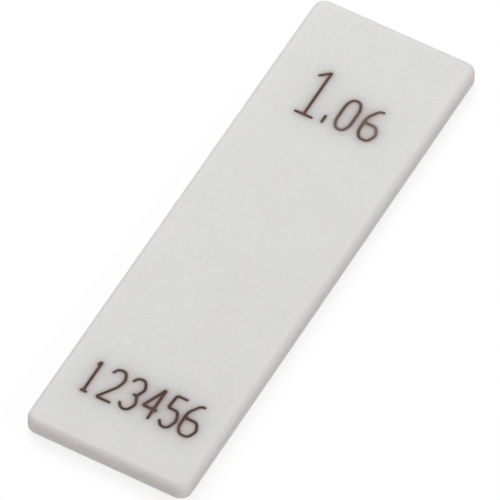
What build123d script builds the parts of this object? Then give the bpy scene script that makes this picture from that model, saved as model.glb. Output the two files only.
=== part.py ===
from build123d import *
import os

# A rectangular gauge block of the thin kind, lying on its lower measuring face.
# Millimetres; X runs across the block, Y along it, and Z is the direction that it gauges.
# The origin is the middle of the lower measuring face.

# Sizes of the block
gauge_length = 1.06     # from one measuring face to the other: the size that the block is made for
face_length = 30.0      # long side of a measuring face
face_width = 9.0        # short side of a measuring face
corner_radius = 0.65    # rounding of the four upright corners
edge_radius = 0.3       # rounding of the edges round each measuring face


def pressed_plate():
    """The blank as pressed and ground: a plate with rounded upright corners and sharp edges."""
    outline = RectangleRounded(face_width, face_length, corner_radius)
    return extrude(outline, amount=gauge_length)


def edges_round_measuring_faces(plate):
    """The closed ring of edges round the lower and the upper measuring face."""
    lower_face = plate.faces().sort_by(Axis.Z)[0]
    upper_face = plate.faces().sort_by(Axis.Z)[-1]
    return lower_face.edges() + upper_face.edges()


def gauge_block():
    """The finished block: the plate with the edges of both measuring faces rounded off."""
    plate = pressed_plate()
    return fillet(edges_round_measuring_faces(plate), edge_radius)


os.makedirs("parts", exist_ok=True)
export_step(gauge_block(), "parts/gauge_block.step")
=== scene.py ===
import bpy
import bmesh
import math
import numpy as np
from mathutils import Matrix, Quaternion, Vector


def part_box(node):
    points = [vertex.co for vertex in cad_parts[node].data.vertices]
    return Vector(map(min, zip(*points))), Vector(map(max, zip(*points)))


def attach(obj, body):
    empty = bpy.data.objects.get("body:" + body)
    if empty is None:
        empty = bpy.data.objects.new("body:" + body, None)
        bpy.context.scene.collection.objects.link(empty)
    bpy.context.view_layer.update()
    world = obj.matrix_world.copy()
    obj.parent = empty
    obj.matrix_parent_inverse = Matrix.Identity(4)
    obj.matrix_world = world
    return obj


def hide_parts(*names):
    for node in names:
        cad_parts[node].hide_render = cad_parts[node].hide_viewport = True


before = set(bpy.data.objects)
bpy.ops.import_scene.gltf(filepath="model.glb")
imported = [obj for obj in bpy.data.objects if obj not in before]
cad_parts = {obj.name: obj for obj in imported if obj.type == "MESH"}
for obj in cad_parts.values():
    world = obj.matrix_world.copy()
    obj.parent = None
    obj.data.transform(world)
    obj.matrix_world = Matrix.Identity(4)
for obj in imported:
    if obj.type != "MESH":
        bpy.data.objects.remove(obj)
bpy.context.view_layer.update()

# %% [markdown]
# # A ceramic gauge block
#
# A gauge block is a small bar whose two large faces are exactly as far apart as the number
# on it says: here 1.06 mm. A workshop sets its instruments with such bars. This one is white
# zirconia, pressed, fired, ground and lapped, so it is one piece with nothing to assemble.
# What has to be right is therefore little, and all of it shows: the proportions of the bar,
# the soft rounding of its edges, how the white ceramic takes light, and the thin dark marks
# in its upper face.
#
# The block is worked out in millimetres, because that is how such a part is drawn, and its
# mesh is brought to metres in one step when it is finished. What stands around it, the
# floor, the lamps and the camera, is set up in metres at once.

MM = 0.001
low, high = (Vector(corner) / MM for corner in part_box("gauge_block"))
WIDTH, LENGTH, THICKNESS = high - low
TOP = high.z
print(f"block: {WIDTH:.2f} mm wide, {LENGTH:.2f} mm long, {THICKNESS:.2f} mm thick")

# %% [markdown]
# ## A workbench for meshes
#
# A bmesh is a mesh on the workbench: operators shape it. Where a modifier does the next step
# better, the bmesh becomes an object for a moment, the modifiers run, and their result comes
# back as a bmesh. These two helpers carry the work there and back.


# %% To an object and back
def to_object(bm, name, materials=()):
    """Makes an object of a bmesh, with its normals pointing outwards."""
    bmesh.ops.recalc_face_normals(bm, faces=bm.faces)
    mesh = bpy.data.meshes.new(name)
    bm.to_mesh(mesh)
    bm.free()
    for material in materials:
        mesh.materials.append(material)
    piece = bpy.data.objects.new(name, mesh)
    bpy.context.scene.collection.objects.link(piece)
    return piece


def back_to_bmesh(piece):
    """Runs the object's modifiers and takes their result back to the workbench."""
    bpy.context.view_layer.update()
    bm = bmesh.new()
    bm.from_object(piece, bpy.context.evaluated_depsgraph_get())
    bpy.data.objects.remove(piece)
    return bm


# %% [markdown]
# ## The bar
#
# The real bar starts as a ground plate. Its four upright corners are rounded, and
# then the sharp edge round each measuring face is broken, so that it can't raise a burr and
# spoil the fit against its neighbour. The mesh is made in the same order: a cube at the
# bar's size, a bevel on the four upright edges, and a second bevel on the two rims.
# A Subdivision Surface could round a cube too, but it would pull the flat faces out
# of flat, and flatness is the whole point of this object.

# %% The rounded bar
CORNER_RADIUS = 0.65
EDGE_RADIUS = 0.3
CORNER_SEGMENTS = 14
EDGE_SEGMENTS = 10
UPRIGHT = 0.99      # how far up the direction of an upright edge points, where 1 is straight up
CLOSE = 1e-4        # how near to a face a point counts as in it, in millimetres


def is_upright(edge):
    """Whether an edge stands straight up."""
    return abs((edge.verts[0].co - edge.verts[1].co).normalized().z) > UPRIGHT


def is_on_rim(edge):
    """Whether an edge lies in the upper or in the lower face."""
    heights = [vert.co.z for vert in edge.verts]
    return max(heights) < CLOSE or min(heights) > TOP - CLOSE


def round_edges(bm, edges, radius, segments):
    """Gives edges a round bevel."""
    bmesh.ops.bevel(bm, geom=edges, offset=radius, offset_type="OFFSET", segments=segments,
                    profile=0.5, affect="EDGES", clamp_overlap=False, material=-1)


bar = bmesh.new()
bmesh.ops.create_cube(bar, size=1.0)
bmesh.ops.scale(bar, vec=(WIDTH, LENGTH, THICKNESS), verts=bar.verts)
bmesh.ops.translate(bar, vec=(0, 0, THICKNESS / 2), verts=bar.verts)
round_edges(bar, [e for e in bar.edges if is_upright(e)], CORNER_RADIUS, CORNER_SEGMENTS)
round_edges(bar, [e for e in bar.edges if is_on_rim(e)], EDGE_RADIUS, EDGE_SEGMENTS)
print(f"bar: {len(bar.faces)} faces after both roundings")

# %% [markdown]
# ## The marks
#
# The marks are single lines, burnt into the ceramic by a fine beam, so each character is
# a path and not a letter shape with an inside. At the far end stands the block's size, with
# a tall 1 before the decimal sign, and at the near end a row of six plain figures.
#
# A path is a few points. Its bends are rounded by a vertex bevel, which works on a bare
# wire as well as on a solid. The wire is then pulled up into a thin wall, the Solidify
# modifier gives that wall the width of the line, and a bevel rounds its ends as the beam
# does. A font could draw figures too, but its strokes are outlines of changing width.

# %% Single-line figures
# Each figure is a list of strokes: (closed?, points), in millimetres. Its base line is y = 0
# and its middle is about x = 0. The small figures are 2 mm high, and the tall 1 is 3 mm high.
FIGURES = {
    "0": [(True, [(-0.39, 0.43), (-0.39, 1.57), (-0.2, 1.99), (0.2, 1.99),
                  (0.39, 1.57), (0.39, 0.43), (0.2, 0.01), (-0.2, 0.01)])],
    "1": [(False, [(-0.02, 1.96), (-0.02, 0.0)]),
          (False, [(-0.16, 1.7), (-0.02, 1.96)]),
          (False, [(-0.2, 0.0), (0.2, 0.0)])],
    "2": [(False, [(-0.38, 1.62), (-0.2, 1.98), (0.2, 1.98), (0.4, 1.5),
                   (0.26, 1.0), (-0.4, 0.0)]),
          (False, [(-0.4, 0.0), (0.4, 0.0)])],
    "3": [(False, [(-0.38, 1.65), (-0.2, 1.98), (0.18, 1.98), (0.41, 1.5), (0.2, 1.0)]),
          (False, [(0.2, 1.0), (0.41, 0.5), (0.18, 0.0), (-0.18, 0.0), (-0.38, 0.33)]),
          (False, [(-0.02, 1.0), (0.2, 1.0)])],
    "4": [(False, [(0.2, 2.0), (0.2, 0.02)]),
          (False, [(0.2, 2.0), (-0.38, 0.67)]),
          (False, [(-0.38, 0.67), (0.4, 0.67)])],
    "5": [(False, [(-0.34, 1.15), (0.2, 1.15), (0.41, 0.58), (0.18, 0.0),
                   (-0.18, 0.0), (-0.38, 0.33)]),
          (False, [(-0.34, 1.15), (-0.28, 1.98)]),
          (False, [(-0.28, 1.98), (0.32, 1.98)])],
    "6": [(False, [(0.2, 1.99), (-0.06, 1.99), (-0.46, 1.36), (-0.46, 0.4), (-0.25, 0.02),
                   (0.22, 0.02), (0.45, 0.52), (0.22, 1.01), (-0.46, 1.01)])],
    ".": [(False, [(0.0, -0.06), (0.0, 0.49)])],
    "tall 1": [(False, [(0.0, 2.97), (0.0, 0.0)]),
               (False, [(-0.52, 2.47), (0.0, 2.93)]),
               (False, [(-0.53, 0.0), (0.51, 0.0)])],
}

# What is marked: the figure, where the middle of its base line stands, and how it is burnt.
DARK, FAINT = 0, 1
SIZE_MARK = [("tall 1", -1.6, 8.0, DARK), (".", -0.6, 8.02, DARK),
             ("0", 0.34, 8.02, FAINT), ("6", 1.69, 8.03, FAINT)]
ROW = "123456"
ROW_PITCH = 1.1
ROW_BASE = -12.15
ROW_MIDDLE = (len(ROW) - 1) / 2
ROW_MARK = [(figure, (place - ROW_MIDDLE) * ROW_PITCH, ROW_BASE, DARK)
            for place, figure in enumerate(ROW)]
print(f"marks: {len(SIZE_MARK)} figures at the far end, {len(ROW_MARK)} at the near end")

# %% [markdown]
# The walls stand from just under the upper face to a little above it: the part that is
# under the face is what the beam takes away. A line is about a seventh of a millimetre wide
# and only two hundredths deep, as a fingernail would just feel.

# %% A wall along each stroke
LINE_WIDTH = 0.15
LINE_DEPTH = 0.02
WALL_HEIGHT = 0.1
BEND = 0.165
BEND_SEGMENTS = 6


def stroke_wall(bm, closed, points, x, y, shade):
    """Adds one stroke as a wall without thickness, its bends rounded."""
    corners = [bm.verts.new((x + px, y + py, TOP - LINE_DEPTH)) for px, py in points]
    pairs = list(zip(corners, corners[1:] + corners[:1]))
    for pair in (pairs if closed else pairs[:-1]):
        bm.edges.new(pair)
    bends = corners if closed else corners[1:-1]
    if bends:
        bmesh.ops.bevel(bm, geom=bends, offset=BEND, offset_type="OFFSET",
                        segments=BEND_SEGMENTS, profile=0.5, affect="VERTICES",
                        clamp_overlap=False, material=-1)
    wire = [e for e in bm.edges if not e.link_faces]
    raised = bmesh.ops.extrude_edge_only(bm, edges=wire)["geom"]
    bmesh.ops.translate(bm, vec=(0, 0, WALL_HEIGHT),
                        verts=[part for part in raised if isinstance(part, bmesh.types.BMVert)])
    for face in raised:
        if isinstance(face, bmesh.types.BMFace):
            face.material_index = shade


walls = bmesh.new()
for figure, x, y, shade in SIZE_MARK + ROW_MARK:
    for closed, points in FIGURES[figure]:
        stroke_wall(walls, closed, points, x, y, shade)
print(f"walls: {len(walls.faces)} faces")

# %% [markdown]
# Before the walls get their thickness, the script notes where the lines run, as rows of
# points at most a tenth of a millimetre apart. The beam scorches a thin fringe beside each
# line, and around it the ceramic gets painted shade for the light that scatters under the
# surface and is swallowed by the dark line. Both are worked out from these points further down.

# %% Where the lines run
# Each point has its x, its y and the length of line that it stands for. The upper edges of
# the walls run over the same lines again, so only the edges under the face are used.
STEP = 0.1
line_points = []
for edge in walls.edges:
    start, end = (vert.co for vert in edge.verts)
    if max(start.z, end.z) < TOP:
        count = math.ceil(edge.calc_length() / STEP)
        share = edge.calc_length() / count
        line_points += [(*start.lerp(end, (i + 0.5) / count).xy, share) for i in range(count)]
line_points = np.array(line_points)
print(f"lines: {len(line_points)} points along {line_points[:, 2].sum():.1f} mm")

# %% [markdown]
# Solidify thickens the walls evenly to both sides. What it leaves square are the ends of the
# strokes, and the outer side of a sharp turn. Both have an upright edge that sticks out, so
# one bevel on those edges gives every stroke the round end of a beam. It is a hair narrower
# than half a line, so that the two bevels at an end don't run into each other.

# %% Thick walls with round ends
wall_piece = to_object(walls, "walls")
thicken = wall_piece.modifiers.new("line width", "SOLIDIFY")
thicken.thickness = LINE_WIDTH
thicken.offset = 0.0
thicken.use_even_offset = True
beams = back_to_bmesh(wall_piece)
SHARP_TURN = math.radians(50)
END_RADIUS = LINE_WIDTH * 0.49
END_SEGMENTS = 5
ends = [e for e in beams.edges
        if is_upright(e) and e.is_convex and e.calc_face_angle() > SHARP_TURN]
round_edges(beams, ends, END_RADIUS, END_SEGMENTS)
print(f"beams: {len(ends)} sharp edges rounded")

# %% [markdown]
# ## White zirconia
#
# Fired zirconia isn't white like paint. Light goes a few tenths of a millimetre in, scatters
# among the grains and comes out nearby, a little warmer, so shade never ends in a hard line.
# That is what Subsurface does. Its scale goes in metres, since that is the unit of this
# scene. The helpers below keep the node trees short: one starts a material, one adds a node,
# one mixes two colours, and one makes a soft irregular pattern between two values.


# %% Helpers for materials
def new_material(name):
    """A node material, its node tree and its main shader."""
    material = bpy.data.materials.new(name)
    material.use_nodes = True
    return material, material.node_tree, material.node_tree.nodes["Principled BSDF"]


def add_node(tree, kind, inputs):
    """Adds a node. An input is a plain value, or the output of another node."""
    node = tree.nodes.new(kind)
    for socket, value in inputs.items():
        if isinstance(value, bpy.types.NodeSocket):
            tree.links.new(value, node.inputs[socket])
        else:
            node.inputs[socket].default_value = value
    return node


def mix_colours(tree, factor, first, second, blend="MIX"):
    """Goes from the first colour to the second as the factor goes from 0 to 1."""
    mix = tree.nodes.new("ShaderNodeMix")
    mix.data_type = "RGBA"
    mix.blend_type = blend
    # A Mix node has sockets for each kind of value. These are the ones for colours.
    factor_in, first_in, second_in = mix.inputs[0], mix.inputs[6], mix.inputs[7]
    for socket, value in ((factor_in, factor), (first_in, first), (second_in, second)):
        if isinstance(value, bpy.types.NodeSocket):
            tree.links.new(value, socket)
        else:
            socket.default_value = value
    return mix.outputs[2]


def pattern(tree, scale, least, most, squeeze=(1, 1, 1), detail=2.0):
    """A soft irregular pattern between two values. Its scale is in spots to the metre."""
    place = add_node(tree, "ShaderNodeTexCoord", {}).outputs["Object"]
    squeezed = add_node(tree, "ShaderNodeMapping", {"Vector": place, "Scale": squeeze})
    noise = add_node(tree, "ShaderNodeTexNoise",
                     {"Vector": squeezed.outputs["Vector"], "Scale": scale, "Detail": detail})
    spread = add_node(tree, "ShaderNodeMapRange",
                      {"Value": noise.outputs["Fac"], "From Min": 0.3, "From Max": 0.7,
                       "To Min": least, "To Max": most})
    return spread.outputs["Result"]


# %% [markdown]
# The ceramic varies in a few ways, all of them faint. Broad clouds, a few millimetres wide,
# come from the lapping, which never wears a face quite evenly. Grain, a sixth of a millimetre
# wide, comes from the powder that it is pressed from. Its colour is a warm white that stays
# well below pure white, so that a lit face never clips.

# %% The ceramic
CERAMIC = (0.778, 0.785, 0.769, 1)
CERAMIC_WARM = (0.766, 0.768, 0.748, 1)
CERAMIC_DULL = (0.714, 0.719, 0.702, 1)

ceramic, tree, shader = new_material("white zirconia")
clouds = pattern(tree, 300, 0.0, 1.0)
grain = pattern(tree, 6000, 0.0, 0.8, detail=4.0)
# Painted shade round the lines and their scorched fringe come in as a colour attribute, which is
# multiplied into the ceramic.
scorch_and_shade = add_node(tree, "ShaderNodeAttribute", {})
scorch_and_shade.attribute_name = "scorch_and_shade"
clouded = mix_colours(tree, clouds, CERAMIC, CERAMIC_WARM)
grained = mix_colours(tree, grain, clouded, CERAMIC_DULL)
scorched_and_shaded = mix_colours(tree, 1.0, grained, scorch_and_shade.outputs["Color"], blend="MULTIPLY")
shader.inputs["IOR"].default_value = 1.55
shader.inputs["Subsurface Weight"].default_value = 0.8
shader.inputs["Subsurface Radius"].default_value = (1.0, 0.85, 0.75)
shader.inputs["Subsurface Scale"].default_value = 0.0006
print(f"ceramic: {len(tree.nodes)} nodes for colour, scatter and veil")

# %% [markdown]
# A face of the bar counts as ground, and not as lapped, as far as it looks sideways. The
# upward part of its normal says that: it is 1 on a lapped face and 0 on a side.
#
# The sides are only ground, so they are duller than the lapped faces. They have scratches
# that run round the block, so their pattern is squeezed flat in height, and they show as a
# bump and an uneven gleam. Spots of a slightly pink and a slightly blue grey are multiplied
# into the colour. They mottle the ground sides. Both are below white, so they also paint a
# little shade and warmth on the sides, which come out slightly darker and pinker than the top.

# %% Lapped faces and ground sides
WHITE = (1, 1, 1, 1)
SIDE_PINK_AND_SHADE = (0.995, 0.975, 0.965, 1)
SIDE_BLUE_AND_SHADE = (0.935, 0.95, 0.97, 1)
SCRATCHED = (1, 1, 40)

normal = add_node(tree, "ShaderNodeTexCoord", {}).outputs["Normal"]
parts = add_node(tree, "ShaderNodeSeparateXYZ", {"Vector": normal})
steepness = add_node(tree, "ShaderNodeMath", {0: parts.outputs["Z"]})
steepness.operation = "ABSOLUTE"
sideways = add_node(tree, "ShaderNodeMapRange",
                    {"Value": steepness.outputs[0], "From Min": 0.9, "From Max": 0.3,
                     "To Min": 0.0, "To Max": 1.0}).outputs["Result"]
ground_spots = pattern(tree, 900, 0.0, 1.0, detail=5.0)
# Painted shade: the spot colours mottle the sides, and they also darken and warm the sides a
# little against the top.
side_mottle_and_shade = mix_colours(tree, ground_spots, SIDE_PINK_AND_SHADE, SIDE_BLUE_AND_SHADE)
side_colour_and_shade = mix_colours(tree, sideways, WHITE, side_mottle_and_shade)
surface_colour = mix_colours(tree, 1.0, scorched_and_shaded, side_colour_and_shade, blend="MULTIPLY")
tree.links.new(surface_colour, shader.inputs["Base Color"])

lapped_gleam = pattern(tree, 900, 0.4, 0.46)
ground_gleam = pattern(tree, 500, 0.5, 0.62, squeeze=SCRATCHED)
gleam = mix_colours(tree, sideways, lapped_gleam, ground_gleam)
tree.links.new(gleam, shader.inputs["Roughness"])

pits = pattern(tree, 12000, 0.0, 1.0)
scratches = pattern(tree, 700, 0.0, 1.0, squeeze=SCRATCHED)
pit_bump = add_node(tree, "ShaderNodeBump", {"Height": pits, "Strength": 0.15, "Distance": 4e-6})
scratch_bump = add_node(tree, "ShaderNodeBump",
                        {"Height": scratches, "Strength": sideways, "Distance": 3e-6,
                         "Normal": pit_bump.outputs["Normal"]})
tree.links.new(scratch_bump.outputs["Normal"], shader.inputs["Normal"])
print(f"ceramic: {len(tree.nodes)} nodes with its lapped and ground faces")

# %% [markdown]
# Where the beam has been, the ceramic is burnt to a dark brown, dull and slightly uneven. The
# last two figures of the size are burnt a little less, so there are two such finishes, and
# a cutting wall carries the one that its groove is to have.


# %% The burnt lines
def burnt_line(name, darkest, lightest):
    """Dull burnt ceramic that goes unevenly from one colour to the other."""
    material, tree, shader = new_material(name)
    patches = pattern(tree, 800, 0.0, 1.0, detail=6.0)
    tree.links.new(mix_colours(tree, patches, darkest, lightest), shader.inputs["Base Color"])
    shader.inputs["Roughness"].default_value = 0.75
    shader.inputs["Specular IOR Level"].default_value = 0.3
    return material


dark_line = burnt_line("dark line", (0.05, 0.03, 0.027, 1), (0.115, 0.078, 0.07, 1))
faint_line = burnt_line("faint line", (0.09, 0.06, 0.055, 1), (0.21, 0.15, 0.138, 1))
burnt = [dark_line, faint_line]
print("burnt lines:", [material.name for material in burnt])

# %% [markdown]
# ## Cutting the marks
#
# Before the marks are cut, the upper face gets a grid of extra edges where they will be. The
# edges don't change its shape: they give it points, and the veil needs points to be written
# on. One bisect_plane makes one straight cut, so the grid is a row of such cuts each way.

# %% A grid under the marks
GRID = 0.085
MARGIN = 1.9
FAR_MARKS = (7.9, 11.0)
NEAR_MARKS = (-12.2, -10.1)
FACES_UP = 0.999    # how far up a flat face looks, where 1 is straight up
SAME_PLACE = 1e-5   # how near to a cut a point counts as on it, in millimetres


def upper_face_parts(bm):
    """The faces of the flat upper side, with their edges and corners, each once and in order."""
    faces = [face for face in bm.faces
             if face.normal.z > FACES_UP and face.calc_center_median().z > TOP - CLOSE]
    edges = dict.fromkeys(edge for face in faces for edge in face.edges)
    verts = dict.fromkeys(vert for face in faces for vert in face.verts)
    return [*faces, *edges, *verts]


def slice_upper_face(bm, axis, places):
    """Cuts the flat upper side along straight lines."""
    for place in places:
        bmesh.ops.bisect_plane(bm, geom=upper_face_parts(bm), dist=SAME_PLACE,
                               plane_co=axis * float(place), plane_no=axis)


flat_half = WIDTH / 2 - EDGE_RADIUS
slice_upper_face(bar, Vector((1, 0, 0)), np.arange(GRID - flat_half, flat_half, GRID))
for start, end in (FAR_MARKS, NEAR_MARKS):
    slice_upper_face(bar, Vector((0, 1, 0)), np.arange(start - MARGIN, end + MARGIN, GRID))
print(f"bar: {len(bar.faces)} faces with the grid")

# %% [markdown]
# The Boolean modifier takes the walls out of the bar, and its exact solver copes with
# strokes that cross, as in a 4. The walls carry the burnt finishes, and the modifier hands
# them on to the floor and the sides of each groove, so no face has to be picked out by hand.

# %% The grooves
bar_piece = to_object(bar, "bar", [ceramic, *burnt])
beam_piece = to_object(beams, "beams", burnt)
engrave = bar_piece.modifiers.new("engrave", "BOOLEAN")
engrave.object = beam_piece
engrave.operation = "DIFFERENCE"
engrave.solver = "EXACT"
engrave.use_self = True
engrave.material_mode = "TRANSFER"
block_mesh = back_to_bmesh(bar_piece)
bpy.data.objects.remove(beam_piece)
groove_faces = sum(face.material_index > 0 for face in block_mesh.faces)
open_edges = sum(not edge.is_manifold for edge in block_mesh.edges)
print(f"block: {len(block_mesh.faces)} faces, {groove_faces} in grooves, {open_edges} open edges")

# %% [markdown]
# ## The veil around the lines
#
# The beam scorches a thin fringe right beside each line. Light that scatters under the
# surface is swallowed by the dark line too. The renderer's scatter doesn't do that, so this
# shade is painted into the colour. So every line stands in a soft veil, and the inside of a
# small 0 is darker than the ceramic beside a lone stroke. The veil at a point of the mesh is
# a sum over the points along the lines, and each of them adds a bell of darkness for the area
# of line that it stands for. It takes three bells: a narrow one for the scorched fringe right
# beside a line, a close one of painted shade that leaves a trace of pink, since it swallows
# red least, and a wide one of painted shade that is nearly grey.
#
# The result is an attribute of the mesh, a colour to multiply the ceramic by.

# %% Writing the veil
# Each bell has its width in millimetres, and how much it takes of red, green and blue.
BELLS = [(0.09, np.array([0.53, 0.68, 0.70])),
         (0.25, np.array([0.57, 0.79, 0.86])),
         (0.7, np.array([0.82, 0.79, 0.73]))]


def darkness(x, y, width):
    """How much of the surface near a point is line, weighed with a bell of this width."""
    away = (line_points[:, 0] - x) ** 2 + (line_points[:, 1] - y) ** 2
    bell = np.exp(-away / (2 * width ** 2)) / (2 * math.pi * width ** 2)
    return LINE_WIDTH * float(np.sum(line_points[:, 2] * bell))


# Painted shade round the lines, with a scorched fringe right beside them: a colour for each point
# of the mesh.
scorch_and_shade_layer = block_mesh.verts.layers.float_color.new("scorch_and_shade")
for vert in block_mesh.verts:
    scorch_and_shade_colour = np.ones(3)
    # Only the upper face and the grooves in it are darkened.
    if vert.co.z > TOP - 2 * LINE_DEPTH:
        for width, colour in BELLS:
            scorch_and_shade_colour -= darkness(vert.co.x, vert.co.y, width) * colour
    vert[scorch_and_shade_layer] = (*np.clip(scorch_and_shade_colour, 0.0, 1.0), 1.0)

ceramic_faces = [face for face in block_mesh.faces if face.material_index == 0]
darkest = min(min(vert[scorch_and_shade_layer][:3]) for face in ceramic_faces for vert in face.verts)
print(f"veil: lets {darkest:.2f} of the ceramic's colour through where it is darkest")

# %% [markdown]
# ## The finished block
#
# Now the mesh goes to metres and becomes the object that stands for the CAD part. Shading is
# smooth over the roundings and breaks at the rims of the grooves. Weighted Normal leans
# each normal towards the larger face beside it, which keeps the lapped faces dead flat right
# up to where the rounding starts.

# %% The block as an object
SHARP_RIM = math.radians(25)

block_mesh.transform(Matrix.Scale(MM, 4))
block = to_object(block_mesh, "ceramic_block", [ceramic, *burnt])
block.data.shade_smooth()
block.data.set_sharp_from_angle(angle=SHARP_RIM)
lean = block.modifiers.new("weighted normals", "WEIGHTED_NORMAL")
lean.mode = "FACE_AREA"
lean.keep_sharp = True
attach(block, "root")
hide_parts("gauge_block")
print("block size, mm:", [round(side / MM, 3) for side in block.dimensions])

# %% [markdown]
# ## Floor, light and background
#
# The block lies on a pale matte floor. For the light that reaches the block it is an
# ordinary pale surface, which sends some of that light back up onto the sides. Seen by the
# camera, or in the gleam of the ceramic, most of its white is its own, and the rest is lit,
# so that the block's soft shadow still shows. Further out, where no shadow falls, the floor is
# plain white. Light Path tells what is seen from light on its way.


# %% What is seen directly
def seen_directly(tree):
    """1 for what the camera, a gleam or clear glass shows, and 0 for light on its way."""
    path = tree.nodes.new("ShaderNodeLightPath")
    either = add_node(tree, "ShaderNodeMath",
                      {0: path.outputs["Is Camera Ray"], 1: path.outputs["Is Glossy Ray"]})
    either.operation = "MAXIMUM"
    seen = add_node(tree, "ShaderNodeMath",
                    {0: either.outputs[0], 1: path.outputs["Is Transmission Ray"]})
    seen.operation = "MAXIMUM"
    return seen.outputs[0]


print("seen directly: camera, glossy and transmission rays")

# %% The floor
# The floor lies a hundredth of a millimetre under the block, so that they share no plane.
FLOOR_RADIUS = 0.4
FLOOR_SIDES = 96
FLOOR_DROP = 0.00001
FLOOR_FOR_LIGHT = (0.45, 0.44, 0.43, 1)
LIT_WHITE = (0.33, 0.33, 0.33, 1)
OWN_WHITE = 0.75
SHADOW_END = 0.018
PLAIN_START = 0.035

floor_material, tree, shader = new_material("pale floor")
tree.nodes.remove(shader)
matte = add_node(tree, "ShaderNodeBsdfDiffuse", {"Color": FLOOR_FOR_LIGHT})
lit_part = add_node(tree, "ShaderNodeBsdfDiffuse", {"Color": LIT_WHITE})
own_part = add_node(tree, "ShaderNodeEmission", {"Color": WHITE, "Strength": OWN_WHITE})
shaded = add_node(tree, "ShaderNodeAddShader",
                  {0: lit_part.outputs[0], 1: own_part.outputs[0]})
plain_white = add_node(tree, "ShaderNodeEmission", {"Color": WHITE, "Strength": 1.0})
place = add_node(tree, "ShaderNodeTexCoord", {}).outputs["Object"]
distance = add_node(tree, "ShaderNodeVectorMath", {0: place})
distance.operation = "LENGTH"
far_out = add_node(tree, "ShaderNodeMapRange",
                   {"Value": distance.outputs["Value"],
                    "From Min": SHADOW_END, "From Max": PLAIN_START})
looks = add_node(tree, "ShaderNodeMixShader",
                 {0: far_out.outputs["Result"], 1: shaded.outputs[0], 2: plain_white.outputs[0]})
either = add_node(tree, "ShaderNodeMixShader",
                  {0: seen_directly(tree), 1: matte.outputs[0], 2: looks.outputs[0]})
tree.links.new(either.outputs[0], tree.nodes["Material Output"].inputs["Surface"])

floor_mesh = bmesh.new()
bmesh.ops.create_circle(floor_mesh, cap_ends=True, radius=FLOOR_RADIUS, segments=FLOOR_SIDES,
                        matrix=Matrix.Translation((0, 0, -FLOOR_DROP)))
floor = to_object(floor_mesh, "floor", [floor_material])
print(f"floor: {floor.dimensions.x:.2f} m across")

# %% [markdown]
# The main lamp hangs overhead, behind the block and to the left. The camera looks
# from the opposite side, so the lamp's gleam lies on the upper face and fades towards the
# near end. Two lamps further out, on the right and the left, light the long sides, and a
# low, slightly pink one lights the near end, which still has the most shade. The world
# fills in from all round.

# %% Light
FILL = 0.228

world = bpy.data.worlds.new("studio")
world.use_nodes = True
bpy.context.scene.world = world
tree = world.node_tree
fill = add_node(tree, "ShaderNodeBackground", {"Color": WHITE, "Strength": FILL})
white = add_node(tree, "ShaderNodeBackground", {"Color": WHITE, "Strength": 1.0})
either = add_node(tree, "ShaderNodeMixShader",
                  {0: seen_directly(tree), 1: fill.outputs[0], 2: white.outputs[0]})
tree.links.new(either.outputs[0], tree.nodes["World Output"].inputs["Surface"])


def soft_lamp(name, place, size, energy, colour=(1, 1, 1)):
    """A round soft lamp that looks at the block. Its size is in metres, its energy in watts."""
    data = bpy.data.lights.new(name, "AREA")
    data.shape = "DISK"
    data.size = size
    data.energy = energy
    data.color = colour
    lamp = bpy.data.objects.new(name, data)
    bpy.context.scene.collection.objects.link(lamp)
    lamp.location = place
    lamp.rotation_euler = (-lamp.location).to_track_quat("-Z", "Y").to_euler()
    print(f"{name}: {lamp.location.length:.2f} m away, {energy} W")


soft_lamp("overhead", (-0.086, 0.104, 0.164), 0.184, 0.254)
soft_lamp("right", (0.37, 0.05, 0.15), 0.3, 0.467)
soft_lamp("left", (-0.4, 0.0, 0.18), 0.35, 0.181)
soft_lamp("near", (0.12, -0.4, 0.1), 0.3, 0.705, (1.0, 0.89, 0.89))

# %% [markdown]
# ## Camera
#
# The picture is a close-up with a long lens, so it has very little perspective. It is taken
# from beyond the near right corner, at about 53 degrees above the floor. The camera looks at
# the middle of the block, and then turns about its own axis by two degrees, because the
# picture isn't quite level.

# %% The camera
AZIMUTH, ELEVATION, ROLL = (math.radians(angle) for angle in (26.974, 52.761, 2.21))
DISTANCE = 606.385 * MM
AIM = Vector((-0.035, -0.305, 0.53)) * MM
FIELD_OF_VIEW = math.radians(2.3075)
NEAREST, FARTHEST = 0.01, 10
back = Vector((math.sin(AZIMUTH) * math.cos(ELEVATION),
               -math.cos(AZIMUTH) * math.cos(ELEVATION), math.sin(ELEVATION)))

camera_data = bpy.data.cameras.new("camera")
camera_data.lens_unit = "FOV"
camera_data.angle = FIELD_OF_VIEW
camera_data.clip_start = NEAREST
camera_data.clip_end = FARTHEST
camera = bpy.data.objects.new("camera", camera_data)
bpy.context.scene.collection.objects.link(camera)
camera.location = AIM + back * DISTANCE
camera.rotation_euler = (back.to_track_quat("Z", "Y") @ Quaternion((0, 0, 1), ROLL)).to_euler()
bpy.context.scene.camera = camera
bpy.context.scene.view_settings.view_transform = "Standard"
print(f"camera: {camera_data.lens:.0f} mm lens at {camera.location.length / MM:.0f} mm")

# %% [markdown]
# ## Sizes
#
# The last step brings the scene up to date.

# %% Bringing the scene up to date
bpy.context.view_layer.update()
